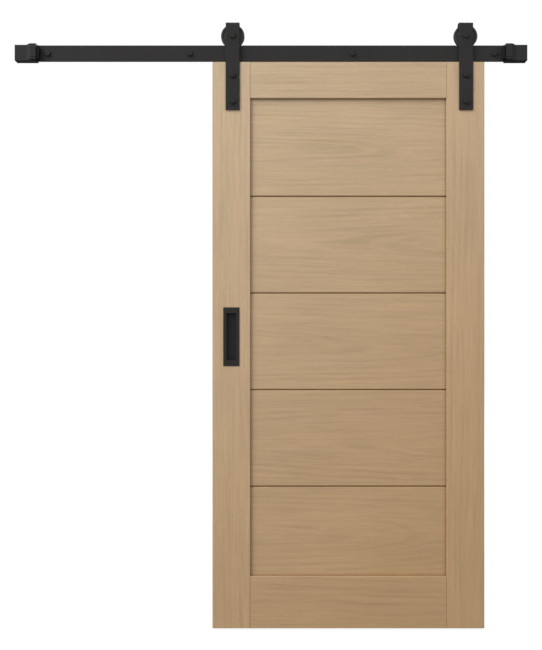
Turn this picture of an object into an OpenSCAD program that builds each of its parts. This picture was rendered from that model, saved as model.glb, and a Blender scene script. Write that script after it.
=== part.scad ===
// Sliding plank door on a flat track, as it hangs in front of a wall.
// X runs along the track, +Y points at the wall (its face is the plane y = 0), +Z is up.
// The origin is on the wall face, at the middle of the rail's bolt line.

/* [Door leaf] */
// Width of the door leaf
door_w = 972.5; // [900:0.5:980]
// Height of the door leaf
door_h = 2024; // [1900:1:2100]
// Thickness of stiles and rails
door_t = 40; // [36:1:44]
// X of the door's left edge when it is at rest
door_left = -209.5; // [-230:0.5:-200]
// Gap between the wall and the back of the door
wall_gap = 8; // [7:1:10]
// Gap between the underside of the rail and the top of the door
top_gap = 4; // [4:0.5:6]
// Width of each stile
stile_w = 135.5; // [120:0.5:140]
// Height of the top rail
top_rail_h = 129.5; // [110:0.5:150]
// Height of the bottom rail
bottom_rail_h = 186; // [150:1:220]

/* [Planks] */
// Thickness of a plank
plank_t = 20; // [16:1:22]
// Height that one plank covers
plank_pitch = 346.5; // [330:0.5:360]
// Visible height of the first plank
first_plank_h = 350; // [330:1:360]
// Chamfer beside each joint between two planks
plank_bevel = 3; // [1:0.2:4]
// Thickness of a tongue
tongue_t = 5.6; // [4:0.2:7]
// How far a tongue stands out
tongue_l = 8; // [6:0.5:10]

/* [Track] */
// Length of the rail
rail_l = 1829; // [1800:1:2000]
// Height of the rail
rail_h = 58; // [50:1:60]
// Thickness of the rail
rail_t = 6; // [5:0.5:6.5]
// Length of a wall spacer
spacer_l = 34; // [33:0.5:36]
// Diameter of a wall spacer
spacer_d = 25; // [20:1:30]
// Distance of the outer bolts from the middle of the rail
outer_bolt_x = 800; // [790:1:805]
// Distance of the inner bolts from the middle of the rail
inner_bolt_x = 291.5; // [250:0.5:320]
// Depth that a lag bolt goes into the wall
lag_depth = 55; // [40:1:70]

/* [Hangers] */
// X of the left hanger at rest
left_hanger_x = -137; // [-150:1:-130]
// X of the right hanger at rest
right_hanger_x = 697; // [690:0.5:700]
// Width of a strap
strap_w = 49.5; // [44:0.5:52]
// Thickness of a strap
strap_t = 5; // [4:0.5:5]
// Top of a strap above the rail's bolt line
strap_top = 109; // [108:0.5:112]
// Bottom of a strap's front leg below the rail's bolt line
strap_bottom = 204.5; // [200:0.5:215]
// Bottom of a strap's back leg above the rail's bolt line
strap_back_bottom = 38; // [36:1:45]
// Distance of the upper strap bolt below the rail's bolt line
upper_bolt_drop = 80; // [70:0.5:90]
// Distance of the lower strap bolt below the rail's bolt line
lower_bolt_drop = 174.5; // [150:0.5:185]

/* [Wheels] */
// Outer radius of a wheel
wheel_r = 42; // [39:0.5:42]
// Radius of the tread that rolls on the rail
tread_r = 32; // [31.5:0.1:32.5]
// Thickness of a wheel
wheel_t = 14; // [13:0.5:14]
// Running gap between the tread and the rail
tread_gap = 0.3; // [0.2:0.1:0.5]

/* [End stops] */
// Length of the plain end of a stop
stop_plain_l = 42.5; // [30:0.5:45]
// Length of the flared part of a stop
stop_flare_l = 14.5; // [8:0.5:16]
// Length of the collar of a stop
stop_collar_l = 20; // [18:0.5:26]
// Height of the collar above the rail
stop_collar_rise = 1.5; // [1:0.5:6]
// Height of the rail's top above the plain end
stop_plain_drop = 2.5; // [0:0.5:4]
// Chamfer along the front edges of the collar
stop_bevel = 4; // [1:0.5:5]
// How far the plain end stands out in front of the rail
stop_plain_out = 14; // [12:0.5:16]
// How far the collar stands out in front of the rail
stop_collar_out = 23; // [20:0.5:24]
// Thickness of the rubber buffer
buffer_t = 11; // [8:0.5:12]

/* [Flush pull] */
// Width of the pull's face
pull_w = 57.5; // [50:0.5:60]
// Height of the pull's face
pull_h = 209.5; // [180:0.5:220]
// Width of the recess
pull_recess_w = 35; // [30:0.5:38]
// Height of the recess
pull_recess_h = 169; // [150:1:175]
// Depth of the recess behind the door's front
pull_recess_d = 16; // [12:0.5:18]
// Centre of the pull below the rail's bolt line
pull_z = 1015; // [950:1:1100]

/* [Floor guide] */
// Gap between the door and the base of the guide
guide_gap = 3; // [2:0.5:12]
// X of the middle of the guide, always under the door
guide_x = -50; // [-150:5:50]
// Length of the guide along the floor
guide_l = 60; // [40:1:80]
// Depth of the groove under the door
guide_groove_d = 22; // [18:1:24]
// Width of the groove under the door
guide_groove_w = 6; // [5:0.5:7]

/* [Hidden] */
$fn = 64;
// Gap round a shaft or a screw in its bore
clearance = 0.05;
// How far a cutting shape runs past the face that it cuts
past = 1;

oak = [0.72, 0.62, 0.50];
oak_dark = [0.66, 0.56, 0.44];
black_steel = [0.20, 0.20, 0.21];
rubber = [0.10, 0.10, 0.10];
zinc = [0.66, 0.67, 0.68];
bearing_steel = [0.74, 0.75, 0.76];

// Door leaf
door_back = -wall_gap;
door_front = door_back - door_t;
door_right = door_left + door_w;
door_top = -rail_h / 2 - top_gap;
door_bottom = door_top - door_h;
door_mid_y = (door_front + door_back) / 2;
inner_left = door_left + stile_w;
inner_right = door_right - stile_w;
opening_top = door_top - top_rail_h;
opening_bottom = door_bottom + bottom_rail_h;
edge_bevel = 1.5;

// Planks: they stand in a groove all round the opening
plank_count = 5;
groove_d = 12;
groove_gap = 1;
plank_hold = groove_d - groove_gap;
plank_front = door_mid_y - plank_t / 2;
plank_back = door_mid_y + plank_t / 2;
plank_joint_gap = 2.2;
tongue_clear = 0.2;
tongue_slot_extra = 0.6;

// Corner dowels
dowel_r = 6;
dowel_l = 90;
dowel_chamfer = 1.5;
dowel_hole_l = dowel_l / 2 + 1;
top_dowel_z = [door_top - 35, door_top - 95];
bottom_dowel_z = [door_bottom + 36, door_bottom + 93, door_bottom + 150];

// Track
rail_back = -spacer_l;
rail_front = rail_back - rail_t;
rail_mid_y = (rail_front + rail_back) / 2;
rail_bevel = 1;
bolt_x = [-outer_bolt_x, -inner_bolt_x, inner_bolt_x, outer_bolt_x];
lag_r = 6;
lag_hole_r = 6.4;
lag_core_r = 4.7;
lag_plain_past_wall = 8;
lag_tip_l = 10;
lag_tip_r = 0.5;
spacer_bevel = 1;
bolt_af = 19;
hex_turned_h = 2;
hex_turned_share = 0.96;
lag_head_h = 5.8;
lag_washer_h = 0.6;
lag_washer_r = 9.4;
lag_washer_step = 1;

// Wheels and axles
axle_z = rail_h / 2 + tread_r + tread_gap;
axle_r = 8.5;
axle_hole_r = axle_r + clearance;
axle_head_af = 21;
axle_head_h = 5;
axle_nut_h = 8;
axle_tip = 2;
axle_tip_bevel = 1.5;
tread_half_w = 3.5;
flange_tip_half_w = 4.8;
wheel_bevel = 1;
hub_face_r = 28.5;
rim_face_r = 33;
face_recess = 2;
bearing_r = 20;
bearing_bore_r = 8.55;
bearing_w = 12;
bearing_lip_r = 18;
ball_r = 3.375;
ball_count = 8;
ball_pocket_r = ball_r + 0.1;
ball_circle_r = 14.25;
race_r = ball_r + clearance;
outer_race_r = 16.4;
inner_race_r = 12.1;
cage_in_r = 13.2;
cage_out_r = 15.3;
cage_half_w = 4.2;
seal_t = 0.8;
seal_in_r = 12.3;
seal_out_r = 16.3;
bush_r = 13;
bush_toe_r = inner_race_r - 0.3;

// Straps
strap_bolt_z = [-upper_bolt_drop, -lower_bolt_drop];
strap_front = door_front - strap_t;
strap_inner_back = 2 * rail_mid_y - door_front;
strap_back = strap_inner_back + strap_t;
strap_bend_r = 9;
strap_bevel = 1.3;
strap_hole_r = 6.3;
strap_bolt_r = 6;
strap_head_h = 7;
barrel_r = 8.5;
barrel_l = 24;
barrel_head_r = 13;
barrel_head_h = 2;
barrel_rim_h = 1.4;
barrel_rim_bevel = 1.2;
barrel_socket_r = 3.4;
barrel_socket_d = 1.5;
strap_bolt_l = strap_t + door_t - 6;

// Anti-jump discs
disc_r = 18;
disc_t = 3;
disc_y = door_mid_y;
disc_screw_r = 2.5;
disc_screw_head_r = 5;
disc_screw_l = 32;

// End stops, measured along the rail from its end
stop_l = stop_plain_l + stop_flare_l + stop_collar_l;
stop_back = rail_back + 14;
stop_plain_front = rail_front - stop_plain_out;
stop_collar_front = rail_front - stop_collar_out;
stop_slot_clear = 0.1;
slit_h = 1.6;
slit_z = -18;
clamp_x = stop_plain_l + stop_flare_l + stop_collar_l / 2;
clamp_y = rail_front - stop_collar_out / 2;
clamp_r = 3;
clamp_head_r = 5;
clamp_head_h = 6;
clamp_head_sunk = 0.5;
clamp_head_room = 0.4;
clamp_socket_r = 2.9;
clamp_socket_d = 3.5;
clamp_l = 26;
grub_r = 4;
grub_x = [18, 60];
grub_l = 11;
grub_tip_bevel = 1;
grub_end_bevel = 0.5;
grub_socket_r = 2.3;
grub_socket_d = 5;
buffer_stem_r = 4;
buffer_stem_l = 9;
buffer_stem_z = 12;
buffer_neck_t = 3;
buffer_neck_inset = 3;
buffer_bevel = 2;
buffer_top = 24;
buffer_bottom = -26;
buffer_front = stop_collar_front + 3;
buffer_back = rail_front - 3;

// Flush pull
pull_x = door_left + stile_w / 2;
pull_face_t = 2.5;
pull_wall = 2;
pull_bevel = 1;
pull_mortise_gap = 0.3;
pull_floor = door_front + pull_recess_d;
pull_screw_dz = 68;
pull_screw_r = 1.8;
pull_screw_head_r = 3.8;
pull_screw_l = 17;
pull_left = pull_x - pull_w / 2;
pull_right = pull_x + pull_w / 2;
pull_bottom = -pull_z - pull_h / 2;
pull_top = -pull_z + pull_h / 2;
screw_hole_gap = 0.1;

// Floor guide
guide_t = 3;
guide_base_top = door_bottom - guide_gap;
guide_base_bottom = guide_base_top - guide_t;
guide_fin_h = 15;
guide_base_back = -1.5;
guide_screw_dx = 18;
guide_screw_y = -13;
guide_screw_r = 2.4;
guide_screw_head_r = 4.8;
guide_screw_l = 30;

// ---- Helpers ----

// Turns an upright child so that its axis runs along +Y
module along_y(x, y, z) {
    translate([x, y, z])
        rotate([-90, 0, 0])
            children();
}

// Extrudes a [y, z] outline along X, from x0 to x1
module extrude_x(x0, x1) {
    translate([x0, 0, 0])
        rotate([90, 0, 90])
            linear_extrude(x1 - x0)
                children();
}

// Extrudes an [x, y] outline upwards, from z0 to z1
module extrude_z(z0, z1) {
    translate([0, 0, z0])
        linear_extrude(z1 - z0)
            children();
}

// A box between two corners
module block(low, high) {
    translate(low)
        cube(high - low);
}

// Hexagon head below the plane z = 0, with the corners of its outer face turned off
module hex_head(af, h) {
    corner_r = af / 2 / cos(30);
    intersection() {
        translate([0, 0, -h])
            cylinder(r = corner_r, h = h, $fn = 6);
        rotate_extrude()
            polygon([
                [0, -h],
                [af / 2 * hex_turned_share, -h],
                [corner_r + past, -h + hex_turned_h],
                [corner_r + past, 0],
                [0, 0]
            ]);
    }
}

// Hexagon nut above the plane z = 0
module hex_nut(af, h, bore) {
    difference() {
        translate([0, 0, h])
            hex_head(af, h);
        translate([0, 0, -past])
            cylinder(r = bore, h = h + 2 * past);
    }
}

// Countersunk screw whose flat head lies in the plane z = 0 and points up, with a cross recess
module csk_screw(r, head_r, l) {
    head_h = head_r - r;
    tip_l = 2 * r;
    tip_r = 0.3;
    slot_w = head_r * 0.28;
    slot_l = head_r * 1.1;
    slot_d = head_h * 0.6;
    difference() {
        rotate_extrude()
            polygon([
                [0, 0],
                [head_r, 0],
                [r, -head_h],
                [r, -l + tip_l],
                [tip_r, -l],
                [0, -l]
            ]);
        for (turn = [0, 90])
            rotate([0, 0, turn])
                translate([-slot_l / 2, -slot_w / 2, -slot_d])
                    cube([slot_l, slot_w, slot_d + past]);
    }
}

// Hole for a countersunk screw, seen from above the plane z = 0
module csk_hole(r, head_r, l) {
    hole_r = r + screw_hole_gap;
    rim_r = head_r + screw_hole_gap;
    rotate_extrude()
        polygon([
            [0, past],
            [rim_r + past, past],
            [rim_r, 0],
            [hole_r, -(head_r - r)],
            [hole_r, -l],
            [0, -l]
        ]);
}

// ---- Door leaf ----

// Holes for the corner dowels, in a stile and in the rail beside it
module dowel_holes(x) {
    for (z = concat(top_dowel_z, bottom_dowel_z))
        translate([x - dowel_hole_l, door_mid_y, z])
            rotate([0, 90, 0])
                cylinder(r = dowel_r + clearance, h = 2 * dowel_hole_l);
}

// Groove for the floor guide, along the bottom edge
module guide_groove() {
    block(
        [door_left - past, door_mid_y - guide_groove_w / 2, door_bottom - past],
        [door_right + past, door_mid_y + guide_groove_w / 2, door_bottom + guide_groove_d]
    );
}

// Groove that holds the planks, all round the opening
module plank_groove() {
    block(
        [inner_left - groove_d, plank_front, opening_bottom - groove_d],
        [inner_right + groove_d, plank_back, opening_top + groove_d]
    );
}

// Stile between x0 and x1, before its holes
module stile_blank(x0, x1) {
    b = edge_bevel;
    extrude_z(door_bottom, door_top)
        polygon([
            [x0 + b, door_front], [x1 - b, door_front],
            [x1, door_front + b], [x1, door_back - b],
            [x1 - b, door_back], [x0 + b, door_back],
            [x0, door_back - b], [x0, door_front + b]
        ]);
}

// Holes that a hanger needs in its stile: two for the barrel nuts, one for the disc's screw
module hanger_holes(x) {
    for (z = strap_bolt_z) {
        along_y(x, door_front - past, z)
            cylinder(r = strap_hole_r, h = door_t + 2 * past);
        along_y(x, door_back - barrel_l - past, z)
            cylinder(r = barrel_r + clearance, h = barrel_l + 2 * past);
    }
    translate([x, disc_y, door_top])
        cylinder(r = disc_screw_r + clearance, h = 2 * disc_screw_l, center = true);
}

module left_stile() {
    color(oak)
        difference() {
            stile_blank(door_left, inner_left);
            plank_groove();
            guide_groove();
            dowel_holes(inner_left);
            hanger_holes(left_hanger_x);
            pull_mortise();
        }
}

module right_stile() {
    color(oak)
        difference() {
            stile_blank(inner_right, door_right);
            plank_groove();
            guide_groove();
            dowel_holes(inner_right);
            hanger_holes(right_hanger_x);
        }
}

// Rail between z0 and z1, with the edge towards the planks bevelled at both faces
module cross_rail(z0, z1, bevel_top) {
    b = edge_bevel;
    outline = bevel_top
        ? [[door_front, z0], [door_front, z1 - b], [door_front + b, z1],
           [door_back - b, z1], [door_back, z1 - b], [door_back, z0]]
        : [[door_front, z1], [door_front, z0 + b], [door_front + b, z0],
           [door_back - b, z0], [door_back, z0 + b], [door_back, z1]];
    difference() {
        extrude_x(inner_left, inner_right)
            polygon(outline);
        plank_groove();
        dowel_holes(inner_left);
        dowel_holes(inner_right);
        guide_groove();
    }
}

module top_rail() {
    color(oak)
        cross_rail(opening_top, door_top, false);
}

module bottom_rail() {
    color(oak)
        cross_rail(door_bottom, opening_bottom, true);
}

// Height of the joint below plank number i
function joint_z(i) = opening_top - first_plank_h - (i - 1) * plank_pitch;

// Top edge of a plank, from the front to the back; below another plank it carries a tongue
function plank_top(z, joined) =
    let (v = plank_bevel, half = tongue_t / 2)
    joined
        ? [[plank_front, z - v], [plank_front + v, z],
           [door_mid_y - half, z], [door_mid_y - half, z + tongue_l],
           [door_mid_y + half, z + tongue_l], [door_mid_y + half, z],
           [plank_back - v, z], [plank_back, z - v]]
        : [[plank_front, z], [plank_back, z]];

// Bottom edge of a plank, from the back to the front; above another plank it is grooved
function plank_bottom(z, joined) =
    let (v = plank_bevel, half = tongue_t / 2 + tongue_clear, top = z + tongue_l + tongue_slot_extra)
    joined
        ? [[plank_back, z + v], [plank_back - v, z],
           [door_mid_y + half, z], [door_mid_y + half, top],
           [door_mid_y - half, top], [door_mid_y - half, z],
           [plank_front + v, z], [plank_front, z + v]]
        : [[plank_back, z], [plank_front, z]];

// Plank number i, counted from the top
module plank(i) {
    first = i == 1;
    last = i == plank_count;
    top_z = first ? opening_top + plank_hold : joint_z(i - 1) - plank_joint_gap / 2;
    bottom_z = last ? opening_bottom - plank_hold : joint_z(i) + plank_joint_gap / 2;
    color(i % 2 == 1 ? oak : oak_dark)
        extrude_x(inner_left - plank_hold, inner_right + plank_hold)
            polygon(concat(plank_top(top_z, !first), plank_bottom(bottom_z, !last)));
}

// One dowel along X, centred on the joint between a stile and a rail
module dowel(x, z) {
    half = dowel_l / 2;
    c = dowel_chamfer;
    translate([x, door_mid_y, z])
        rotate([0, 90, 0])
            rotate_extrude()
                polygon([
                    [0, -half], [dowel_r - c, -half], [dowel_r, -half + c],
                    [dowel_r, half - c], [dowel_r - c, half], [0, half]
                ]);
}

module joint_dowels() {
    color(oak_dark)
        for (x = [inner_left, inner_right])
            for (z = concat(top_dowel_z, bottom_dowel_z))
                dowel(x, z);
}

// ---- Flush pull ----

// Room for the pull's cup and screws in the stile
module pull_mortise() {
    half_w = pull_recess_w / 2 + pull_wall + pull_mortise_gap;
    half_h = pull_recess_h / 2 + pull_wall + pull_mortise_gap;
    block(
        [pull_x - half_w, door_front - past, -pull_z - half_h],
        [pull_x + half_w, pull_floor + pull_wall, -pull_z + half_h]
    );
    for (dz = [-pull_screw_dz, pull_screw_dz])
        along_y(pull_x, pull_floor, -pull_z + dz)
            cylinder(r = pull_screw_r + screw_hole_gap, h = pull_screw_l + past);
}

// Face of the pull, bevelled on all four sides
module pull_face() {
    y0 = door_front - pull_face_t;
    b = pull_bevel;
    intersection() {
        extrude_z(pull_bottom, pull_top)
            polygon([
                [pull_left, door_front], [pull_left, y0 + b], [pull_left + b, y0],
                [pull_right - b, y0], [pull_right, y0 + b], [pull_right, door_front]
            ]);
        extrude_x(pull_left, pull_right)
            polygon([
                [door_front, pull_bottom], [y0 + b, pull_bottom], [y0, pull_bottom + b],
                [y0, pull_top - b], [y0 + b, pull_top], [door_front, pull_top]
            ]);
    }
}

module flush_pull() {
    half_w = pull_recess_w / 2;
    half_h = pull_recess_h / 2;
    cup_half_w = half_w + pull_wall;
    cup_half_h = half_h + pull_wall;
    color(black_steel)
        difference() {
            union() {
                pull_face();
                block(
                    [pull_x - cup_half_w, door_front - pull_face_t / 2, -pull_z - cup_half_h],
                    [pull_x + cup_half_w, pull_floor + pull_wall, -pull_z + cup_half_h]
                );
            }
            block(
                [pull_x - half_w, door_front - pull_face_t - past, -pull_z - half_h],
                [pull_x + half_w, pull_floor, -pull_z + half_h]
            );
            for (dz = [-pull_screw_dz, pull_screw_dz])
                along_y(pull_x, pull_floor, -pull_z + dz)
                    rotate([180, 0, 0])
                        csk_hole(pull_screw_r, pull_screw_head_r, pull_screw_l);
        }
}

module pull_screws() {
    color(black_steel)
        for (dz = [-pull_screw_dz, pull_screw_dz])
            along_y(pull_x, pull_floor, -pull_z + dz)
                rotate([180, 0, 0])
                    csk_screw(pull_screw_r, pull_screw_head_r, pull_screw_l);
}

// ---- Track ----

module track_rail() {
    half = rail_h / 2;
    b = rail_bevel;
    color(black_steel)
        difference() {
            extrude_x(-rail_l / 2, rail_l / 2)
                polygon([
                    [rail_front, -half + b], [rail_front, half - b], [rail_front + b, half],
                    [rail_back - b, half], [rail_back, half - b], [rail_back, -half + b],
                    [rail_back - b, -half], [rail_front + b, -half]
                ]);
            for (x = bolt_x)
                along_y(x, rail_front - past, 0)
                    cylinder(r = lag_hole_r, h = rail_t + 2 * past);
        }
}

module wall_spacer(i) {
    r = spacer_d / 2;
    b = spacer_bevel;
    color(black_steel)
        along_y(bolt_x[i - 1], rail_back, 0)
            rotate_extrude()
                polygon([
                    [lag_hole_r, 0], [r - b, 0], [r, b],
                    [r, spacer_l - b], [r - b, spacer_l], [lag_hole_r, spacer_l]
                ]);
}

// Lag bolt: plain shank through rail and spacer, then the core of its thread in the wall
module lag_bolt(i) {
    plain_l = rail_t + spacer_l + lag_plain_past_wall;
    full_l = rail_t + spacer_l + lag_depth;
    neck_r = lag_washer_r - lag_washer_step;
    color(black_steel)
        along_y(bolt_x[i - 1], rail_front, 0) {
            translate([0, 0, -lag_washer_h])
                hex_head(bolt_af, lag_head_h);
            rotate_extrude()
                polygon([
                    [0, -lag_washer_h - past], [neck_r, -lag_washer_h - past],
                    [neck_r, -lag_washer_h], [lag_washer_r, -lag_washer_h], [lag_washer_r, 0],
                    [lag_r, 0], [lag_r, plain_l], [lag_core_r, plain_l + lag_r - lag_core_r],
                    [lag_core_r, full_l - lag_tip_l], [lag_tip_r, full_l], [0, full_l]
                ]);
        }
}

// ---- End stops ----

// Places the child, made for the left end, at the left or mirrored at the right end
module at_end(side) {
    mirror([side == "right" ? 1 : 0, 0, 0])
        translate([-rail_l / 2, 0, 0])
            children();
}

// Outer form: a plain end that flares forwards and upwards into a chamfered collar
module stop_form() {
    bottom = -rail_h / 2;
    plain_top = rail_h / 2 - stop_plain_drop;
    collar_top = rail_h / 2 + stop_collar_rise;
    flare_end = stop_plain_l + stop_flare_l;
    b = stop_bevel;
    intersection() {
        extrude_z(bottom, collar_top)
            polygon([
                [0, stop_plain_front], [stop_plain_l, stop_plain_front],
                [flare_end, stop_collar_front], [stop_l, stop_collar_front],
                [stop_l, stop_back], [0, stop_back]
            ]);
        translate([0, stop_back, 0])
            rotate([90, 0, 0])
                linear_extrude(stop_back - stop_collar_front)
                    polygon([
                        [0, bottom], [stop_l, bottom], [stop_l, collar_top],
                        [flare_end, collar_top], [stop_plain_l, plain_top], [0, plain_top]
                    ]);
        extrude_x(0, stop_l)
            polygon([
                [stop_collar_front, bottom + b], [stop_collar_front + b, bottom],
                [stop_back, bottom], [stop_back, collar_top],
                [stop_collar_front + b, collar_top], [stop_collar_front, collar_top - b]
            ]);
    }
}

module end_stop(side) {
    half = rail_h / 2;
    color(black_steel)
        at_end(side)
            difference() {
                stop_form();
                block(
                    [-past, rail_front - stop_slot_clear, -half - past],
                    [stop_l + past, rail_back + stop_slot_clear, half]
                );
                block(
                    [stop_plain_l + stop_flare_l, stop_collar_front - past, slit_z - slit_h / 2],
                    [stop_l + past, rail_front, slit_z + slit_h / 2]
                );
                translate([clamp_x, clamp_y, -half - past])
                    cylinder(r = clamp_head_r + clamp_head_room, h = clamp_head_h + past);
                translate([clamp_x, clamp_y, -half])
                    cylinder(r = clamp_r + clearance, h = clamp_l + past);
                for (x = grub_x)
                    along_y(x, rail_back, 0)
                        cylinder(r = grub_r + clearance, h = stop_back - rail_back + past);
                translate([stop_l - buffer_stem_l - past, clamp_y, buffer_stem_z])
                    rotate([0, 90, 0])
                        cylinder(r = buffer_stem_r + clearance, h = buffer_stem_l + 2 * past);
            }
}

// Socket-head screw that draws the two lips of the slit together
module clamp_screw(side) {
    half = rail_h / 2;
    color(black_steel)
        at_end(side)
            translate([clamp_x, clamp_y, -half])
                difference() {
                    union() {
                        translate([0, 0, clamp_head_sunk])
                            cylinder(r = clamp_head_r, h = clamp_head_h - clamp_head_sunk);
                        translate([0, 0, clamp_head_h])
                            cylinder(r = clamp_r, h = clamp_l - clamp_head_h);
                    }
                    cylinder(r = clamp_socket_r, h = clamp_socket_d, $fn = 6);
                }
}

module grub_screws(side) {
    color(black_steel)
        at_end(side)
            for (x = grub_x)
                along_y(x, rail_back, 0)
                    difference() {
                        rotate_extrude()
                            polygon([
                                [0, 0], [grub_r - grub_tip_bevel, 0], [grub_r, grub_tip_bevel],
                                [grub_r, grub_l - grub_end_bevel], [grub_r - grub_end_bevel, grub_l],
                                [0, grub_l]
                            ]);
                        translate([0, 0, grub_l - grub_socket_d])
                            cylinder(r = grub_socket_r, h = grub_socket_d + past, $fn = 6);
                    }
}

// Rubber buffer: a pad on a narrower neck, held by a stem in the collar
module buffer(side) {
    inset = buffer_neck_inset;
    b = buffer_bevel;
    neck_end = stop_l + buffer_neck_t;
    face = stop_l + buffer_t;
    color(rubber)
        at_end(side) {
            block(
                [stop_l, buffer_front + inset, buffer_bottom + inset],
                [neck_end, buffer_back - inset, buffer_top - inset]
            );
            intersection() {
                extrude_z(buffer_bottom, buffer_top)
                    polygon([
                        [neck_end, buffer_front], [face - b, buffer_front],
                        [face, buffer_front + b], [face, buffer_back - b],
                        [face - b, buffer_back], [neck_end, buffer_back]
                    ]);
                translate([0, buffer_back, 0])
                    rotate([90, 0, 0])
                        linear_extrude(buffer_back - buffer_front)
                            polygon([
                                [neck_end, buffer_bottom], [face - b, buffer_bottom],
                                [face, buffer_bottom + b], [face, buffer_top - b],
                                [face - b, buffer_top], [neck_end, buffer_top]
                            ]);
            }
            translate([stop_l - buffer_stem_l, clamp_y, buffer_stem_z])
                rotate([0, 90, 0])
                    cylinder(r = buffer_stem_r, h = buffer_stem_l);
        }
}

// ---- Floor guide ----

module floor_guide() {
    x0 = guide_x - guide_l / 2;
    fin_front = door_mid_y - guide_t / 2;
    fin_back = door_mid_y + guide_t / 2;
    color(black_steel)
        difference() {
            extrude_x(x0, x0 + guide_l)
                polygon([
                    [fin_front, guide_base_bottom], [guide_base_back, guide_base_bottom],
                    [guide_base_back, guide_base_top], [fin_back, guide_base_top],
                    [fin_back, door_bottom + guide_fin_h], [fin_front, door_bottom + guide_fin_h]
                ]);
            for (dx = [-guide_screw_dx, guide_screw_dx])
                translate([guide_x + dx, guide_screw_y, guide_base_top])
                    csk_hole(guide_screw_r, guide_screw_head_r, guide_screw_l);
        }
}

module guide_screws() {
    color(zinc)
        for (dx = [-guide_screw_dx, guide_screw_dx])
            translate([guide_x + dx, guide_screw_y, guide_base_top])
                csk_screw(guide_screw_r, guide_screw_head_r, guide_screw_l);
}

// ---- Hangers ----

function hanger_x(side) = side == "left" ? left_hanger_x : right_hanger_x;

// Side view of a strap: a long front leg, a square bend with rounded corners, a short back leg
module strap_outline() {
    r = strap_bend_r;
    inner_r = r - strap_t;
    legs_top = strap_top - r;
    difference() {
        union() {
            translate([strap_front, -strap_bottom])
                square([strap_back - strap_front, strap_bottom + legs_top]);
            translate([strap_front + r, legs_top])
                square([strap_back - strap_front - 2 * r, r]);
            for (y = [strap_front + r, strap_back - r])
                translate([y, legs_top])
                    circle(r);
        }
        translate([door_front, -strap_bottom - past])
            square([strap_inner_back - door_front, strap_bottom + past + legs_top]);
        translate([door_front + inner_r, legs_top - past])
            square([strap_inner_back - door_front - 2 * inner_r, inner_r + past]);
        for (y = [door_front + inner_r, strap_inner_back - inner_r])
            translate([y, legs_top])
                circle(inner_r);
        translate([door_front + strap_t, -strap_bottom - past])
            square([strap_back - door_front, strap_bottom + past + strap_back_bottom]);
    }
}

// Strap with the long edges of its outer faces bevelled
module strap(side) {
    x = hanger_x(side);
    half = strap_w / 2;
    b = strap_bevel;
    color(black_steel)
        difference() {
            intersection() {
                extrude_x(x - half, x + half)
                    strap_outline();
                extrude_z(-strap_bottom, strap_top)
                    polygon([
                        [x - half, strap_front + b], [x - half + b, strap_front],
                        [x + half - b, strap_front], [x + half, strap_front + b],
                        [x + half, strap_back - b], [x + half - b, strap_back],
                        [x - half + b, strap_back], [x - half, strap_back - b]
                    ]);
            }
            along_y(x, strap_front - past, axle_z)
                cylinder(r = axle_hole_r, h = strap_back - strap_front + 2 * past);
            for (z = strap_bolt_z)
                along_y(x, strap_front - past, z)
                    cylinder(r = strap_hole_r, h = strap_t + 2 * past);
        }
}

module strap_bolts(side) {
    color(black_steel)
        for (z = strap_bolt_z)
            along_y(hanger_x(side), strap_front, z) {
                hex_head(bolt_af, strap_head_h);
                translate([0, 0, -past])
                    cylinder(r = strap_bolt_r, h = strap_bolt_l + past);
            }
}

// Flat-headed sleeve nuts, let in from the back of the door
module barrel_nuts(side) {
    full_l = barrel_l + barrel_head_h;
    color(black_steel)
        for (z = strap_bolt_z)
            along_y(hanger_x(side), door_back - barrel_l, z)
                difference() {
                    rotate_extrude()
                        polygon([
                            [0, 0], [barrel_r, 0], [barrel_r, barrel_l], [barrel_head_r, barrel_l],
                            [barrel_head_r, barrel_l + barrel_rim_h],
                            [barrel_head_r - barrel_rim_bevel, full_l], [0, full_l]
                        ]);
                    translate([0, 0, -past])
                        cylinder(r = strap_bolt_r + clearance, h = barrel_l - past);
                    translate([0, 0, full_l - barrel_socket_d])
                        cylinder(r = barrel_socket_r, h = barrel_socket_d + past, $fn = 6);
                }
}

// ---- Wheels ----

// Spins a [radius, offset] outline about a wheel's axle; the offset runs along +Y from the wheel's middle
module on_axle(side) {
    along_y(hanger_x(side), rail_mid_y, axle_z)
        rotate_extrude()
            children();
}

module wheel(side) {
    half = wheel_t / 2;
    c = wheel_bevel;
    seat = bearing_w / 2;
    color(black_steel)
        on_axle(side)
            polygon([
                [bearing_r + clearance, -half], [hub_face_r - c, -half], [hub_face_r, -half + c],
                [hub_face_r, -half + face_recess], [rim_face_r, -half + face_recess],
                [rim_face_r + c, -half], [wheel_r - c, -half], [wheel_r, -half + c],
                [wheel_r, -flange_tip_half_w], [tread_r, -tread_half_w],
                [tread_r, tread_half_w], [wheel_r, flange_tip_half_w],
                [wheel_r, half - c], [wheel_r - c, half], [rim_face_r + c, half],
                [rim_face_r, half - face_recess], [hub_face_r, half - face_recess],
                [hub_face_r, half - c], [hub_face_r - c, half],
                [bearing_lip_r, half], [bearing_lip_r, seat], [bearing_r + clearance, seat]
            ]);
}

// Outline of a bearing ring between two radii, with the ball race cut from one side
module ring_outline(r0, r1) {
    difference() {
        translate([r0, -bearing_w / 2])
            square([r1 - r0, bearing_w]);
        translate([ball_circle_r, 0])
            circle(race_r);
    }
}

module bearing_outer(side) {
    color(bearing_steel)
        on_axle(side)
            ring_outline(outer_race_r, bearing_r);
}

module bearing_inner(side) {
    color(bearing_steel)
        on_axle(side)
            ring_outline(bearing_bore_r, inner_race_r);
}

// Centres of the balls, round the axle
module each_ball(side) {
    for (i = [0 : ball_count - 1])
        along_y(hanger_x(side), rail_mid_y, axle_z)
            rotate([0, 0, i * 360 / ball_count])
                translate([ball_circle_r, 0, 0])
                    children();
}

module bearing_balls(side) {
    color(bearing_steel)
        each_ball(side)
            sphere(ball_r);
}

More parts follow.
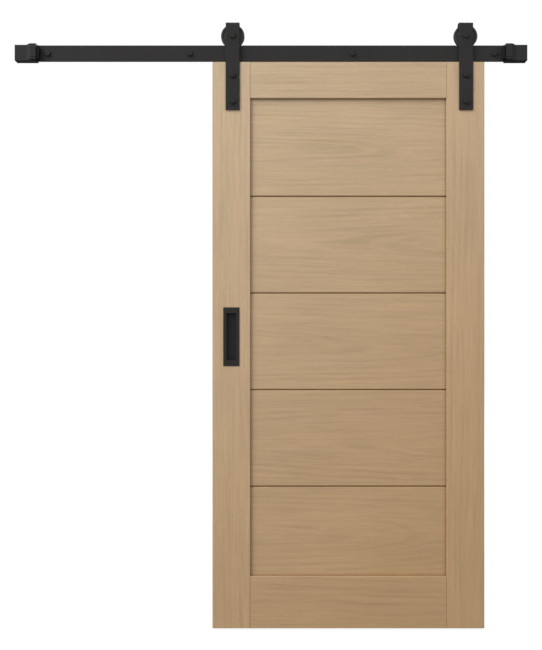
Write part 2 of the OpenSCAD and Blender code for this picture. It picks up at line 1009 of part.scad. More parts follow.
module bearing_cage(side) {
    color("goldenrod")
        difference() {
            on_axle(side)
                translate([cage_in_r, -cage_half_w])
                    square([cage_out_r - cage_in_r, 2 * cage_half_w]);
            each_ball(side)
                rotate([0, 90, 0])
                    cylinder(r = ball_pocket_r, h = 2 * ball_r, center = true);
        }
}

module bearing_seals(side) {
    color(rubber)
        for (end = [-1, 1])
            on_axle(side)
                translate([seal_in_r, end * (bearing_w - seal_t) / 2 - seal_t / 2])
                    square([seal_out_r - seal_in_r, seal_t]);
}

module axle_bolt(side) {
    shank_l = strap_back - strap_front + axle_nut_h + axle_tip;
    b = axle_tip_bevel;
    color(black_steel)
        along_y(hanger_x(side), strap_front, axle_z) {
            hex_head(axle_head_af, axle_head_h);
            rotate_extrude()
                polygon([
                    [0, -past], [axle_r, -past], [axle_r, shank_l - b], [axle_r - b, shank_l], [0, shank_l]
                ]);
        }
}

// Bushes between the bearing's inner ring and the two legs of the strap
module axle_bushes(side) {
    inner_end = bearing_w / 2;
    gap = (strap_inner_back - door_front) / 2 - inner_end;
    color(zinc)
        for (start = [-inner_end - gap, inner_end])
            on_axle(side)
                polygon([
                    [axle_hole_r, start], [start < 0 ? bush_r : bush_toe_r, start],
                    [start < 0 ? bush_toe_r : bush_r, start + gap], [axle_hole_r, start + gap]
                ]);
}

module axle_nut(side) {
    color(black_steel)
        along_y(hanger_x(side), strap_back, axle_z)
            hex_nut(axle_head_af, axle_nut_h, axle_hole_r);
}

// ---- Anti-jump discs ----

module jump_disc(side) {
    color(black_steel)
        translate([hanger_x(side), disc_y, door_top])
            difference() {
                cylinder(r = disc_r, h = disc_t);
                translate([0, 0, disc_t])
                    csk_hole(disc_screw_r, disc_screw_head_r, disc_t + past);
            }
}

module jump_screw(side) {
    color(zinc)
        translate([hanger_x(side), disc_y, door_top + disc_t])
            csk_screw(disc_screw_r, disc_screw_head_r, disc_screw_l);
}

// ---- Nodes ----

left_stile();
right_stile();
top_rail();
bottom_rail();
plank(1);  // plank_1
plank(2);  // plank_2
plank(3);  // plank_3
plank(4);  // plank_4
plank(5);  // plank_5
joint_dowels();
flush_pull();
pull_screws();
track_rail();
wall_spacer(1);  // wall_spacer_1
wall_spacer(2);  // wall_spacer_2
wall_spacer(3);  // wall_spacer_3
wall_spacer(4);  // wall_spacer_4
lag_bolt(1);  // lag_bolt_1
lag_bolt(2);  // lag_bolt_2
lag_bolt(3);  // lag_bolt_3
lag_bolt(4);  // lag_bolt_4
end_stop("left");  // left_end_stop
end_stop("right");  // right_end_stop
buffer("left");  // left_buffer
buffer("right");  // right_buffer
clamp_screw("left");  // left_clamp_screw
clamp_screw("right");  // right_clamp_screw
grub_screws("left");  // left_grub_screws
grub_screws("right");  // right_grub_screws
floor_guide();
guide_screws();
strap("left");  // left_strap
strap("right");  // right_strap
strap_bolts("left");  // left_strap_bolts
strap_bolts("right");  // right_strap_bolts
barrel_nuts("left");  // left_barrel_nuts
barrel_nuts("right");  // right_barrel_nuts
wheel("left");  // left_wheel
wheel("right");  // right_wheel
bearing_outer("left");  // left_bearing_outer
bearing_outer("right");  // right_bearing_outer
bearing_inner("left");  // left_bearing_inner
bearing_inner("right");  // right_bearing_inner
bearing_balls("left");  // left_bearing_balls
bearing_balls("right");  // right_bearing_balls
bearing_cage("left");  // left_bearing_cage
bearing_cage("right");  // right_bearing_cage
bearing_seals("left");  // left_bearing_seals
bearing_seals("right");  // right_bearing_seals
axle_bolt("left");  // left_axle_bolt
axle_bolt("right");  // right_axle_bolt
axle_bushes("left");  // left_axle_bushes
axle_bushes("right");  // right_axle_bushes
axle_nut("left");  // left_axle_nut
axle_nut("right");  // right_axle_nut
jump_disc("left");  // left_jump_disc
jump_disc("right");  // right_jump_disc
jump_screw("left");  // left_jump_screw
jump_screw("right");  // right_jump_screw
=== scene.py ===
import math

import bmesh
import bpy
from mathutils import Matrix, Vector


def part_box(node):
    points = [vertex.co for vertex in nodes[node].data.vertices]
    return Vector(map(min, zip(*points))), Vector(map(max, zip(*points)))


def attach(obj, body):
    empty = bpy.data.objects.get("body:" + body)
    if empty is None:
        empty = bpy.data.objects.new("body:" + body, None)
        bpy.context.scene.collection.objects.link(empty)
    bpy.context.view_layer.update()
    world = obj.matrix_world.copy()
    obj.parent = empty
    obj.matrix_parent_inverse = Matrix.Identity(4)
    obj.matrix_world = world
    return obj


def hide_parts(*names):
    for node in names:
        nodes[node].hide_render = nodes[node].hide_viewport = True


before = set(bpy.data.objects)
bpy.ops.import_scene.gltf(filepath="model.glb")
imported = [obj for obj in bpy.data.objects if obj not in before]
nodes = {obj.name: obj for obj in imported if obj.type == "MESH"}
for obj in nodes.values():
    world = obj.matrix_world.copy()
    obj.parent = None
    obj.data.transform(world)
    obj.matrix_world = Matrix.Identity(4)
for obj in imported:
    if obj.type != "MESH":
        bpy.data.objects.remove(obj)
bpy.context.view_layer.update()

MM = 0.001

# ---- Places, read from the frame ----

door_low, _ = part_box("left_stile")
_, door_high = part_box("right_stile")
door_front = door_low.y
floor_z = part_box("floor_guide")[0].z

# ---- Sizes that only the looks need ----

# Camera: level, square on to the door, on the centre line of the track
CAMERA_DISTANCE = 3.110
CAMERA_Z = -0.9731
HALF_FRAME_HEIGHT = 1.1616
SENSOR = 36.0

# Threads, cut round the cores of the bolts and screws
LAG_CORE_R = 4.7 * MM
LAG_THREAD_RISE = 1.3 * MM
LAG_THREAD_PITCH = 4.8 * MM
LAG_THREAD_START = 9.6 * MM
LAG_TIP_L = 10 * MM
LAG_TIP_R = 1.2 * MM
LAG_TIP_THREADED = 0.72

# Rubber buffers
BUFFER_ROUND = 1.9 * MM
BUFFER_ROUND_STEPS = 5
BUFFER_SHARP_ANGLE = math.radians(40)
BUFFER_NECK_T = 3 * MM
BUFFER_NECK_INSET = 3 * MM
BUFFER_STEM_L = 9 * MM


# ---- Bench for mixing a finish ----


class Finish:
    """One material on the bench: its nodes are made and joined here."""

    def __init__(self, name):
        self.material = bpy.data.materials.new(name)
        self.material.use_nodes = True
        self.tree = self.material.node_tree
        self.shader = self.tree.nodes["Principled BSDF"]
        self.place = self.make("TexCoord").outputs["Object"]

    def make(self, kind, inputs=None, **settings):
        """A node of this kind; an input is a number, a colour or another node's output."""
        made = self.tree.nodes.new("ShaderNode" + kind)
        for key, value in settings.items():
            setattr(made, key, value)
        for key, value in (inputs or {}).items():
            self.feed(made.inputs[key], value)
        return made

    def feed(self, socket, value):
        if isinstance(value, bpy.types.NodeSocket):
            self.tree.links.new(value, socket)
        else:
            socket.default_value = value

    def calc(self, operation, first, second=0.0, clamp=False):
        made = self.make("Math", operation=operation, use_clamp=clamp)
        self.feed(made.inputs[0], first)
        self.feed(made.inputs[1], second)
        return made.outputs[0]

    def total(self, *values):
        """Sum of several values."""
        result = values[0]
        for value in values[1:]:
            result = self.calc("ADD", result, value)
        return result

    def spread(self, value, amount, middle=0.5):
        """The value's distance from its middle, times an amount."""
        return self.calc("MULTIPLY", self.calc("SUBTRACT", value, middle), amount)

    def ramp(self, value, low, high, to_low=0.0, to_high=1.0, smooth=False):
        """Stretches low..high of a value to to_low..to_high, and stops at both ends."""
        kind = "SMOOTHSTEP" if smooth else "LINEAR"
        made = self.make("MapRange", interpolation_type=kind, clamp=True)
        for key, number in (("From Min", low), ("From Max", high), ("To Min", to_low), ("To Max", to_high)):
            made.inputs[key].default_value = number
        self.feed(made.inputs["Value"], value)
        return made.outputs["Result"]

    def noise(self, place, scale=1.0, detail=2.0, roughness=0.5):
        inputs = {"Vector": place, "Scale": scale, "Detail": detail, "Roughness": roughness}
        return self.make("TexNoise", inputs).outputs["Fac"]

    def noise_along(self, distance, scale, detail=2.0):
        """Noise that changes along one number only."""
        inputs = {"W": distance, "Scale": scale, "Detail": detail}
        return self.make("TexNoise", inputs, noise_dimensions="1D").outputs["Fac"]

    def axes(self, place):
        parts = self.make("SeparateXYZ", {"Vector": place}).outputs
        return parts["X"], parts["Y"], parts["Z"]

    def point(self, x, y, z):
        return self.make("CombineXYZ", {"X": x, "Y": y, "Z": z}).outputs["Vector"]

    def moved(self, location=(0, 0, 0), scale=(1, 1, 1)):
        """The object's coordinates with a new centre and scale."""
        inputs = {"Vector": self.place, "Location": location, "Scale": scale}
        return self.make("Mapping", inputs).outputs["Vector"]

    def distance(self, first, second):
        """Length of the slanted side over two square sides."""
        squares = (self.calc("MULTIPLY", first, first), self.calc("MULTIPLY", second, second))
        return self.calc("SQRT", self.calc("ADD", *squares))

    def axle_distance(self, centre):
        """Distance from an axle that runs along Y through the centre."""
        x, _, z = self.axes(self.moved(location=tuple(-c for c in centre)))
        return self.distance(x, z)

    def mixed(self, factor, first, second):
        """A colour between two colours."""
        made = self.make("Mix", data_type="RGBA")
        self.feed(made.inputs["Factor"], factor)
        for key, colour in (("A", first), ("B", second)):
            socket = next(s for s in made.inputs if s.name == key and s.type == "RGBA")
            self.feed(socket, colour if isinstance(colour, bpy.types.NodeSocket) else (*colour, 1.0))
        return next(s for s in made.outputs if s.type == "RGBA")

    def scaled(self, colour, amount):
        """The colour times a number."""
        made = self.make("VectorMath", {"Scale": amount}, operation="SCALE")
        self.feed(made.inputs[0], colour)
        return made.outputs["Vector"]

    def rounded_normal(self, radius):
        """Normal that turns softly round the edges."""
        return self.make("Bevel", {"Radius": radius}, samples=6).outputs["Normal"]

    def edge(self, normal, reach=0.12):
        """1 on an edge and 0 on a flat, from how far the rounded normal turns."""
        flat = self.make("NewGeometry").outputs["Normal"]
        dot = self.make("VectorMath", operation="DOT_PRODUCT")
        self.feed(dot.inputs[0], normal)
        self.feed(dot.inputs[1], flat)
        return self.ramp(self.calc("SUBTRACT", 1.0, dot.outputs["Value"]), 0.0, reach)

    def crevice_shade(self, reach, most):
        """Mask for painted shade: 0 out in the open, rising to most where other surfaces close in."""
        inputs = {"Distance": reach}
        openness = self.make("AmbientOcclusion", inputs, samples=8).outputs["AO"]
        return self.ramp(openness, 0.35, 0.92, most, 0.0)

    def bump(self, height, distance, strength, normal):
        inputs = {"Height": height, "Distance": distance, "Strength": strength, "Normal": normal}
        return self.make("Bump", inputs).outputs["Normal"]

    def done(self, **sockets):
        """Fills the shader's sockets and hands the material over."""
        for key, value in sockets.items():
            self.feed(self.shader.inputs[key.replace("_", " ")], value)
        return self.material


# ---- Oak ----

OAK_PALE = (0.450, 0.334, 0.212)
OAK_DEEP = (0.355, 0.226, 0.112)
OAK_PORE = (0.17, 0.10, 0.05)
# Colour of the painted shade that darkens and warms the wood in corners and grooves
OAK_CREVICE_SHADE = (0.20, 0.092, 0.024)
RING_SPACING = 9.0 * MM
# The leaf's tone drifts from pale at its top left corner to deep at its bottom right corner, so that
# it looks as if lit from the upper left. The drift is fixed to the leaf and isn't real light.
DRIFT_DOWN = 0.42
DRIFT_RIGHT = 0.37


def oak_board(name, along, heart, slope, seed, tone=1.0):
    """Lacquered oak. The grain runs along X or Z, and heart = (across, behind) is where the tree's
    middle lies at the board's centre; slope tilts it, which draws the pointed figure."""
    oak = Finish(name)
    x, y, z = oak.axes(oak.place)
    length, across = (x, z) if along == "X" else (z, x)
    length = oak.calc("ADD", length, seed)

    def grain(along_scale, across_scale, detail=2.0, roughness=0.5):
        """Noise stretched along the grain."""
        place = oak.point(
            oak.calc("MULTIPLY", length, along_scale),
            oak.calc("MULTIPLY", across, across_scale),
            oak.calc("MULTIPLY", y, across_scale),
        )
        return oak.noise(place, detail=detail, roughness=roughness)

    slow = grain(1.3, 5.0)
    waver = grain(8.0, 34.0, detail=3.0)
    side = oak.total(across, -heart[0], oak.spread(slow, 0.016), oak.spread(waver, 0.009))
    behind = oak.total(y, -heart[1], oak.calc("MULTIPLY", length, slope), oak.spread(slow, 0.050))
    radius = oak.distance(side, behind)
    late_wood = oak.ramp(oak.noise_along(radius, 1 / RING_SPACING, detail=1.5), 0.42, 0.66, smooth=True)
    presence = oak.ramp(grain(4.0, 16.0), 0.36, 0.66, 0.15, 1.0)
    figure = oak.calc("MULTIPLY", late_wood, presence)

    fibres = grain(9.0, 210.0, detail=3.0, roughness=0.55)
    streaks = grain(3.2, 75.0, detail=2.0)
    flecks = oak.ramp(grain(26.0, 330.0, detail=1.0), 0.60, 0.72)
    pores = oak.ramp(grain(38.0, 1150.0, detail=1.0), 0.60, 0.74)
    clouds = grain(2.2, 8.0)

    drift = oak.calc(
        "ADD",
        oak.calc("MULTIPLY", oak.calc("SUBTRACT", z, door_high.z), -DRIFT_DOWN),
        oak.calc("MULTIPLY", oak.calc("SUBTRACT", x, door_low.x), DRIFT_RIGHT),
        clamp=True,
    )
    wood = oak.mixed(drift, OAK_PALE, OAK_DEEP)
    shade = oak.total(
        tone,
        oak.spread(figure, -0.115, 0.25),
        oak.spread(fibres, -0.26),
        oak.spread(streaks, -0.22),
        oak.spread(clouds, -0.16),
        oak.calc("MULTIPLY", flecks, 0.055),
    )
    wood = oak.scaled(wood, shade)
    wood = oak.mixed(oak.calc("MULTIPLY", pores, 0.22), wood, OAK_PORE)
    # Painted shade: the wood is darkened and warmed in corners and grooves, where other surfaces close in
    wood = oak.mixed(oak.crevice_shade(12 * MM, 0.80), wood, OAK_CREVICE_SHADE)

    rounded = oak.rounded_normal(0.7 * MM)
    height = oak.total(oak.calc("MULTIPLY", fibres, 0.6), oak.calc("MULTIPLY", pores, -0.8))
    normal = oak.bump(height, 0.12 * MM, 0.35, rounded)
    rough = oak.total(0.46, oak.spread(fibres, 0.16), oak.calc("MULTIPLY", pores, 0.12))
    return oak.done(Base_Color=wood, Roughness=rough, Normal=normal, Specular_IOR_Level=0.5)


def dowel_beech(name):
    """Bare turned dowels: plain, pale, with fine fibres along X."""
    beech = Finish(name)
    fibres = beech.noise(beech.moved(scale=(30, 900, 900)), detail=3.0)
    wood = beech.mixed(fibres, (0.60, 0.44, 0.28), (0.42, 0.28, 0.16))
    normal = beech.bump(fibres, 0.1 * MM, 0.3, beech.rounded_normal(0.4 * MM))
    return beech.done(Base_Color=wood, Roughness=beech.ramp(fibres, 0.2, 0.8, 0.62, 0.78), Normal=normal)


# ---- Metal, rubber ----


def powder_coat(name, colour, rough, edge_round=0.5 * MM):
    """Black powder coat: fine orange peel, slight clouding, a paler line where edges rub bare, which is also
    a painted edge highlight.
    """
    coat = Finish(name)
    peel = coat.noise(coat.place, scale=1500.0, detail=2.0)
    clouds = coat.noise(coat.moved(scale=(7, 7, 7)), detail=4.0, roughness=0.6)
    specks = coat.ramp(coat.noise(coat.place, scale=5200.0, detail=1.0), 0.66, 0.80)
    rounded = coat.rounded_normal(edge_round)
    # Paler edges: partly wear where the coat rubs bare, partly a painted highlight along every edge
    worn = coat.calc("MULTIPLY", coat.edge(rounded), coat.ramp(clouds, 0.30, 0.70, 0.25, 1.0))
    deep = tuple(c * 0.82 for c in colour)
    pale = tuple(c * 1.18 for c in colour)
    base = coat.mixed(clouds, deep, pale)
    base = coat.mixed(coat.calc("MULTIPLY", specks, 0.35), base, tuple(c * 2.2 for c in colour))
    base = coat.mixed(coat.calc("MULTIPLY", worn, 0.55), base, tuple(c * 3.2 for c in colour))
    roughness = coat.total(rough, coat.spread(clouds, 0.16), coat.calc("MULTIPLY", worn, -0.10))
    normal = coat.bump(peel, 0.05 * MM, 0.45, rounded)
    return coat.done(Base_Color=base, Roughness=roughness, Normal=normal, Specular_IOR_Level=0.11)


def black_oxide(name):
    """Blackened steel of bolts, screws and nuts: slight sheen, bare steel showing on the corners."""
    steel = Finish(name)
    clouds = steel.noise(steel.place, scale=160.0, detail=3.0)
    scratches = steel.noise(steel.moved(scale=(260, 2600, 900)), detail=2.0)
    rounded = steel.rounded_normal(0.35 * MM)
    worn = steel.calc("MULTIPLY", steel.edge(rounded), steel.ramp(clouds, 0.35, 0.65, 0.2, 0.9))
    base = steel.mixed(clouds, (0.013, 0.013, 0.013), (0.020, 0.020, 0.020))
    base = steel.mixed(steel.calc("MULTIPLY", worn, 0.6), base, (0.10, 0.10, 0.105))
    rough = steel.total(0.48, steel.spread(clouds, 0.2), steel.spread(scratches, 0.12))
    normal = steel.bump(scratches, 0.02 * MM, 0.25, rounded)
    return steel.done(Base_Color=base, Roughness=rough, Normal=normal, Specular_IOR_Level=0.14)


def turned_black(name, centre):
    """Turned and blackened wheel: fine lathe rings round its axle under the coat."""
    wheel = Finish(name)
    rings = wheel.noise_along(wheel.axle_distance(centre), 1700.0)
    clouds = wheel.noise(wheel.place, scale=40.0, detail=3.0)
    rounded = wheel.rounded_normal(0.6 * MM)
    worn = wheel.calc("MULTIPLY", wheel.edge(rounded), wheel.ramp(clouds, 0.3, 0.7, 0.3, 1.0))
    base = wheel.mixed(clouds, (0.026, 0.026, 0.026), (0.034, 0.034, 0.034))
    base = wheel.mixed(wheel.calc("MULTIPLY", worn, 0.5), base, (0.07, 0.07, 0.072))
    rough = wheel.total(0.42, wheel.spread(rings, 0.18), wheel.spread(clouds, 0.1))
    normal = wheel.bump(rings, 0.04 * MM, 0.4, rounded)
    return wheel.done(Base_Color=base, Roughness=rough, Normal=normal, Specular_IOR_Level=0.14)


def ground_steel(name, centre):
    """Bright ground bearing steel with fine rings round its axle."""
    steel = Finish(name)
    rings = steel.noise_along(steel.axle_distance(centre), 3800.0)
    smears = steel.noise(steel.place, scale=220.0, detail=2.0)
    base = steel.mixed(smears, (0.58, 0.58, 0.59), (0.70, 0.70, 0.71))
    rough = steel.total(0.24, steel.spread(rings, 0.14), steel.spread(smears, 0.10))
    normal = steel.bump(rings, 0.01 * MM, 0.4, steel.rounded_normal(0.25 * MM))
    return steel.done(Base_Color=base, Roughness=rough, Normal=normal, Metallic=1.0)


def plated_steel(name):
    """Zinc plate: cool grey, mottled crystals, soft brushing."""
    zinc = Finish(name)
    crystals = zinc.make("TexVoronoi", {"Vector": zinc.place, "Scale": 420.0}).outputs["Color"]
    grey, _, _ = zinc.axes(crystals)
    brushed = zinc.noise(zinc.moved(scale=(1800, 1800, 160)), detail=2.0)
    base = zinc.mixed(grey, (0.48, 0.50, 0.52), (0.62, 0.63, 0.64))
    rough = zinc.total(0.33, zinc.spread(grey, 0.12), zinc.spread(brushed, 0.16))
    normal = zinc.bump(brushed, 0.02 * MM, 0.3, zinc.rounded_normal(0.25 * MM))
    return zinc.done(Base_Color=base, Roughness=rough, Normal=normal, Metallic=1.0)


def pressed_brass(name):
    """Pressed brass of the ball cages, a little tarnished."""
    brass = Finish(name)
    tarnish = brass.noise(brass.place, scale=300.0, detail=4.0, roughness=0.6)
    base = brass.mixed(tarnish, (0.66, 0.45, 0.17), (0.42, 0.27, 0.10))
    rough = brass.ramp(tarnish, 0.3, 0.7, 0.28, 0.46)
    normal = brass.bump(tarnish, 0.02 * MM, 0.3, brass.rounded_normal(0.25 * MM))
    return brass.done(Base_Color=base, Roughness=rough, Normal=normal, Metallic=1.0)


def moulded_rubber(name):
    """Matt black rubber with a fine moulded skin and a dusty bloom."""
    rubber = Finish(name)
    skin = rubber.noise(rubber.place, scale=2600.0, detail=2.0)
    bloom = rubber.noise(rubber.place, scale=90.0, detail=4.0, roughness=0.6)
    base = rubber.mixed(bloom, (0.004, 0.004, 0.004), (0.010, 0.010, 0.010))
    rough = rubber.ramp(bloom, 0.3, 0.7, 0.74, 0.88)
    normal = rubber.bump(skin, 0.05 * MM, 0.5, rubber.rounded_normal(0.4 * MM))
    return rubber.done(Base_Color=base, Roughness=rough, Normal=normal, Specular_IOR_Level=0.15)


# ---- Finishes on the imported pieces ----

STEEL_BLACK = (0.0210, 0.0202, 0.0204)
PULL_BLACK = (0.0205, 0.0195, 0.0190)
SMALL_SLOTS = {
    "rubber": moulded_rubber("rubber moulded"),
    "zinc_steel": plated_steel("zinc plate"),
    "cage_brass": pressed_brass("brass pressed"),
    "dowel_wood": dowel_beech("beech dowel"),
    "fastener_black": black_oxide("black oxide"),
    "steel_black": powder_coat("powder coat on steel", STEEL_BLACK, 0.50),
    "pull_black": powder_coat("powder coat on the pull", PULL_BLACK, 0.46),
}


CROSS_RAILS = ("top_rail", "bottom_rail")
# Tone of the boards, the small step between one board and the next, and how much paler the stiles are
BOARD_TONE = 0.958
BOARD_TONE_STEP = 0.003
STILE_PALER = 0.030
# The tree's middle from a board's centre, across and behind, and how it leans along the grain
STILE_HEART = (0.13, 0.120)
STILE_SLOPE = 0.012
RAIL_HEART = (0.16, 0.160)
RAIL_SLOPE = 0.004
PLANK_HEART = (-0.012, 0.030)
PLANK_SLOPES = (-0.055, 0.060)
HEART_SHIFT = 0.006
SEED_STEP = 3.7


def middle(name):
    low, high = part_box(name)
    return (low + high) / 2


def board_finish(name):
    """Oak for one board, with a heart, a seed and a tone of its own."""
    centre = middle(name)
    boards = sorted(n for n in nodes if n.startswith("plank") or "stile" in n or n in CROSS_RAILS)
    number = boards.index(name)
    seed = SEED_STEP * (number + 1)
    shift = HEART_SHIFT * ((number * 3) % 5 - 2)
    tone = BOARD_TONE + BOARD_TONE_STEP * ((number * 2) % 5 - 2)
    if "stile" in name:
        tone += STILE_PALER
        heart = (centre.x + STILE_HEART[0] + shift, STILE_HEART[1])
        return oak_board("oak " + name, "Z", heart, STILE_SLOPE, seed, tone)
    if name in CROSS_RAILS:
        heart = (centre.z + RAIL_HEART[0] + shift, RAIL_HEART[1])
        return oak_board("oak " + name, "X", heart, RAIL_SLOPE, seed, tone)
    slope = PLANK_SLOPES[number % 2]
    heart = (centre.z + PLANK_HEART[0] + shift, PLANK_HEART[1] + slope * (centre.x + seed))
    return oak_board("oak " + name, "X", heart, slope, seed, tone)


def finish_nodes():
    """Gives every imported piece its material, by the slot it was packed with."""
    for name, piece in nodes.items():
        slot = piece.data.materials[0].name
        side = name.split("_")[0]
        if slot.endswith("_oak"):
            material = board_finish(name)
        elif slot == "wheel_black":
            material = turned_black("turned black " + side, middle(side + "_wheel"))
        elif slot == "bearing_steel":
            shared = bpy.data.materials.get("ground steel " + side)
            material = shared or ground_steel("ground steel " + side, middle(side + "_wheel"))
        else:
            material = SMALL_SLOTS[slot]
        piece.data.materials[0] = material


# ---- Threads ----


def thread_tree():
    """Geometry Nodes for a thread: a ridge wound round a core, set at every point it is given."""
    tree = bpy.data.node_groups.new("wound thread", "GeometryNodeTree")
    face = tree.interface
    face.new_socket("Places", in_out="INPUT", socket_type="NodeSocketGeometry")
    for label in ("Start Radius", "End Radius", "Length", "Turns", "Ridge"):
        face.new_socket(label, in_out="INPUT", socket_type="NodeSocketFloat")
    face.new_socket("Turned", in_out="INPUT", socket_type="NodeSocketRotation")
    face.new_socket("Finish", in_out="INPUT", socket_type="NodeSocketMaterial")
    face.new_socket("Threads", in_out="OUTPUT", socket_type="NodeSocketGeometry")

    def make(kind, **inputs):
        made = tree.nodes.new("GeometryNode" + kind)
        for key, value in inputs.items():
            socket = made.inputs[key.replace("_", " ")]
            if isinstance(value, bpy.types.NodeSocket):
                tree.links.new(value, socket)
            else:
                socket.default_value = value
        return made

    given = tree.nodes.new("NodeGroupInput").outputs
    spiral = make(
        "CurveSpiral", Resolution=20, Rotations=given["Turns"], Start_Radius=given["Start Radius"],
        End_Radius=given["End Radius"], Height=given["Length"],
    )
    upright = make("SetCurveNormal", Curve=spiral.outputs["Curve"])
    upright.mode = "Z_UP"
    ridge = make("CurvePrimitiveCircle", Resolution=3, Radius=given["Ridge"])
    wound = make(
        "CurveToMesh", Curve=upright.outputs["Curve"], Profile_Curve=ridge.outputs["Curve"], Fill_Caps=True,
    )
    placed = make(
        "InstanceOnPoints", Points=given["Places"], Instance=wound.outputs["Mesh"], Rotation=given["Turned"],
    )
    real = make("RealizeInstances", Geometry=placed.outputs["Instances"])
    finished = make("SetMaterial", Geometry=real.outputs["Geometry"], Material=given["Finish"])
    tree.links.new(finished.outputs["Geometry"], tree.nodes.new("NodeGroupOutput").inputs["Threads"])
    return tree


def wind_thread(name, tree, places, **inputs):
    """Winds the tree's thread at these places and returns it as one plain mesh object."""
    points = bpy.data.meshes.new(name + " places")
    points.from_pydata([tuple(p) for p in places], [], [])
    holder = bpy.data.objects.new(name + " places", points)
    bpy.context.scene.collection.objects.link(holder)
    modifier = holder.modifiers.new("wound thread", "NODES")
    modifier.node_group = tree
    sockets = {s.name: s.identifier for s in tree.interface.items_tree if s.in_out == "INPUT"}
    for key, value in inputs.items():
        modifier[sockets[key.replace("_", " ")]] = value
    bpy.context.view_layer.update()
    evaluated = holder.evaluated_get(bpy.context.evaluated_depsgraph_get())
    mesh = bpy.data.meshes.new_from_object(evaluated)
    holder.modifiers.remove(modifier)
    bpy.data.objects.remove(holder)
    mesh.name = name
    thread = bpy.data.objects.new(name, mesh)
    bpy.context.scene.collection.objects.link(thread)
    return thread


def shade_threads(thread):
    """Recalculates the normals so that they point out of the ridge."""
    work = bmesh.new()
    work.from_mesh(thread.data)
    bmesh.ops.recalc_face_normals(work, faces=work.faces)
    work.to_mesh(thread.data)
    work.free()


def lag_bolt_threads(tree):
    """Thread on the four lag bolts: an even run, then the run that closes onto the tip."""
    bolts = [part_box("lag_bolt_%d" % i) for i in (1, 2, 3, 4)]
    tip_y = bolts[0][1].y
    even_l = tip_y - LAG_TIP_L - LAG_THREAD_START
    tip_l = LAG_TIP_L * LAG_TIP_THREADED
    runs = (
        ("lag_bolt_thread", LAG_THREAD_START, even_l, LAG_CORE_R, LAG_CORE_R),
        ("lag_bolt_tip_thread", tip_y - LAG_TIP_L, tip_l, LAG_CORE_R, LAG_TIP_R),
    )
    for name, start, length, radius, end_radius in runs:
        places = [((low.x + high.x) / 2, start, 0.0) for low, high in bolts]
        thread = wind_thread(
            name, tree, places, Start_Radius=radius, End_Radius=end_radius, Length=length,
            Turns=length / LAG_THREAD_PITCH, Ridge=LAG_THREAD_RISE,
            Turned=(-math.pi / 2, 0.0, 0.0), Finish=SMALL_SLOTS["fastener_black"],
        )
        shade_threads(thread)
        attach(thread, "track")


# ---- Rubber buffers ----


def buffer_block(work, low, high):
    """A box in the bench mesh between two corners."""
    for vertex in bmesh.ops.create_cube(work, size=1.0)["verts"]:
        for axis in range(3):
            vertex.co[axis] = low[axis] if vertex.co[axis] < 0 else high[axis]


def fill_in_order(mesh, work):
    """Fill a mesh from the bench mesh, with its corners and faces sorted by place."""
    corners = sorted(work.verts, key=lambda vertex: tuple(vertex.co))
    number = {vertex: index for index, vertex in enumerate(corners)}
    rings = []
    for face in work.faces:
        ring = [number[vertex] for vertex in face.verts]
        start = ring.index(min(ring))
        rings.append(ring[start:] + ring[:start])
    mesh.from_pydata([tuple(vertex.co) for vertex in corners], [], sorted(rings))


def rubber_buffer(side):
    """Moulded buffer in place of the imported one: soft-edged pad, narrower neck, stem in the collar."""
    low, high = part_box(side + "_buffer")
    inward = 1 if side == "left" else -1
    pad_face = high.x if side == "left" else low.x
    collar = pad_face - inward * (high.x - low.x - BUFFER_STEM_L)
    neck_end = collar + inward * BUFFER_NECK_T
    work = bmesh.new()
    buffer_block(
        work, (min(neck_end, pad_face), low.y, low.z), (max(neck_end, pad_face), high.y, high.z)
    )
    bmesh.ops.bevel(
        work,
        geom=work.edges[:],
        offset=BUFFER_ROUND,
        segments=BUFFER_ROUND_STEPS,
        profile=0.5,
        affect="EDGES",
    )
    inset = BUFFER_NECK_INSET
    root = neck_end + inward * BUFFER_ROUND
    buffer_block(
        work,
        (min(collar, root), low.y + inset, low.z + inset),
        (max(collar, root), high.y - inset, high.z - inset),
    )
    mesh = bpy.data.meshes.new(side + "_rubber_buffer")
    fill_in_order(mesh, work)
    work.free()
    for polygon in mesh.polygons:
        polygon.use_smooth = True
    mesh.set_sharp_from_angle(angle=BUFFER_SHARP_ANGLE)
    buffer = bpy.data.objects.new(side + "_rubber_buffer", mesh)
    bpy.context.scene.collection.objects.link(buffer)
    mesh.materials.append(SMALL_SLOTS["rubber"])
    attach(buffer, "track")
    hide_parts(side + "_buffer")


# ---- Studio ----

# Large key high on the left, weak fill low on the right, broad light on the back
LAMP_AIM = (0.2, 0.0, -0.9)
KEY_PLACE = (-6.8, -4.6, 6.0)
KEY_SIZE = 4.6
KEY_POWER = 860.0
KEY_COLOUR = (1.0, 0.985, 0.96)
FILL_PLACE = (4.2, -3.0, 0.9)
FILL_SIZE = 2.4
FILL_POWER = 26.0
BACK_PLACE = (3.6, 6.0, 4.2)
BACK_SIZE = 4.0
BACK_POWER = 620.0
PLAIN_WHITE = (1.0, 1.0, 1.0)
ROOM_LIGHT_FROM = (-0.46, -0.42, 0.78)
ROOM_DIM = 0.10
ROOM_BRIGHT = 1.25
FLOOR_GLOW = 0.89
FLOOR_REACH = 60.0


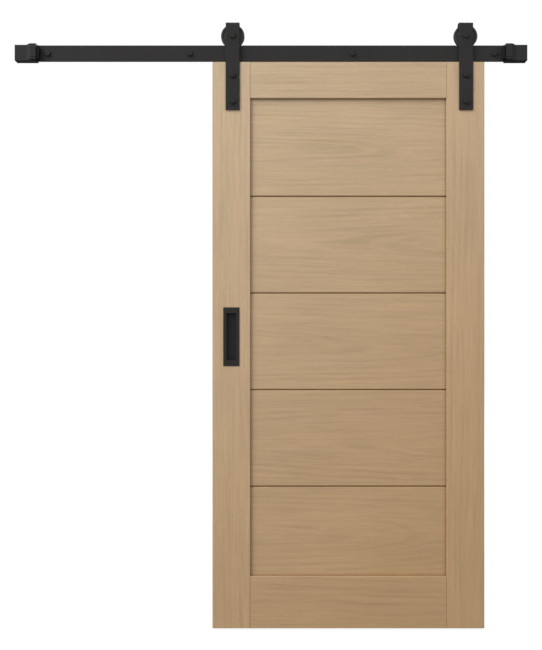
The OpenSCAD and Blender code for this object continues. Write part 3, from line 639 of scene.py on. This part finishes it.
def studio_floor():
    """Plain pale floor under the door, out to the horizon. It glows a little and is left out of
    bounces and reflections, so it lights nothing and shows only a faint shadow."""
    corners = [(-1, -1), (1, -1), (1, 1), (-1, 1)]
    mesh = bpy.data.meshes.new("floor")
    mesh.from_pydata([(x * FLOOR_REACH, y * FLOOR_REACH, floor_z) for x, y in corners], [], [(0, 1, 2, 3)])
    floor = bpy.data.objects.new("floor", mesh)
    bpy.context.scene.collection.objects.link(floor)
    pale = Finish("pale floor")
    tint = pale.noise(pale.place, scale=3.0)
    colour = pale.mixed(tint, (0.110, 0.110, 0.110), (0.105, 0.105, 0.105))
    pale.shader.inputs["Emission Color"].default_value = (1, 1, 1, 1)
    pale.shader.inputs["Emission Strength"].default_value = FLOOR_GLOW
    mesh.materials.append(pale.done(Base_Color=colour, Roughness=0.9, Specular_IOR_Level=0.1))
    floor.visible_diffuse = False
    floor.visible_glossy = False


def studio_world():
    """White room: brighter from the upper left in front, dimmer from below."""
    world = bpy.data.worlds.new("white room")
    bpy.context.scene.world = world
    world.use_nodes = True
    tree = world.node_tree
    direction = tree.nodes.new("ShaderNodeTexCoord").outputs["Generated"]
    dot = tree.nodes.new("ShaderNodeVectorMath")
    dot.operation = "DOT_PRODUCT"
    tree.links.new(direction, dot.inputs[0])
    dot.inputs[1].default_value = ROOM_LIGHT_FROM
    glow = tree.nodes.new("ShaderNodeMapRange")
    glow.interpolation_type = "SMOOTHSTEP"
    for key, number in (("From Min", -0.9), ("From Max", 1.0), ("To Min", ROOM_DIM), ("To Max", ROOM_BRIGHT)):
        glow.inputs[key].default_value = number
    tree.links.new(dot.outputs["Value"], glow.inputs["Value"])
    room = tree.nodes["Background"]
    room.inputs["Color"].default_value = (1.0, 0.99, 0.97, 1)
    tree.links.new(glow.outputs["Result"], room.inputs["Strength"])
    backdrop = tree.nodes.new("ShaderNodeBackground")
    backdrop.inputs["Color"].default_value = (1, 1, 1, 1)
    seen = tree.nodes.new("ShaderNodeLightPath").outputs["Is Camera Ray"]
    either = tree.nodes.new("ShaderNodeMixShader")
    tree.links.new(seen, either.inputs["Fac"])
    tree.links.new(room.outputs["Background"], either.inputs[1])
    tree.links.new(backdrop.outputs["Background"], either.inputs[2])
    tree.links.new(either.outputs["Shader"], tree.nodes["World Output"].inputs["Surface"])


def soft_box(name, place, aim, size, power, colour):
    """Square lamp at a place, turned towards its aim."""
    lamp = bpy.data.lights.new(name, "AREA")
    lamp.shape = "SQUARE"
    lamp.size = size
    lamp.energy = power
    lamp.color = colour
    box = bpy.data.objects.new(name, lamp)
    bpy.context.scene.collection.objects.link(box)
    box.location = place
    box.rotation_euler = (Vector(aim) - Vector(place)).to_track_quat("-Z", "Y").to_euler()


def studio_camera():
    """Level camera, square on to the door."""
    lens = bpy.data.cameras.new("camera")
    lens.sensor_width = SENSOR
    lens.lens = SENSOR / 2 * CAMERA_DISTANCE / HALF_FRAME_HEIGHT
    camera = bpy.data.objects.new("camera", lens)
    camera.location = (0.0, door_front - CAMERA_DISTANCE, CAMERA_Z)
    camera.rotation_euler = (math.pi / 2, 0.0, 0.0)
    bpy.context.scene.collection.objects.link(camera)
    bpy.context.scene.camera = camera
    bpy.context.scene.view_settings.view_transform = "Standard"


studio_camera()
finish_nodes()
threads = thread_tree()
lag_bolt_threads(threads)
for side in ("left", "right"):
    rubber_buffer(side)
studio_floor()
studio_world()
soft_box("key", KEY_PLACE, LAMP_AIM, KEY_SIZE, KEY_POWER, KEY_COLOUR)
soft_box("fill", FILL_PLACE, LAMP_AIM, FILL_SIZE, FILL_POWER, PLAIN_WHITE)
soft_box("back", BACK_PLACE, LAMP_AIM, BACK_SIZE, BACK_POWER, PLAIN_WHITE)
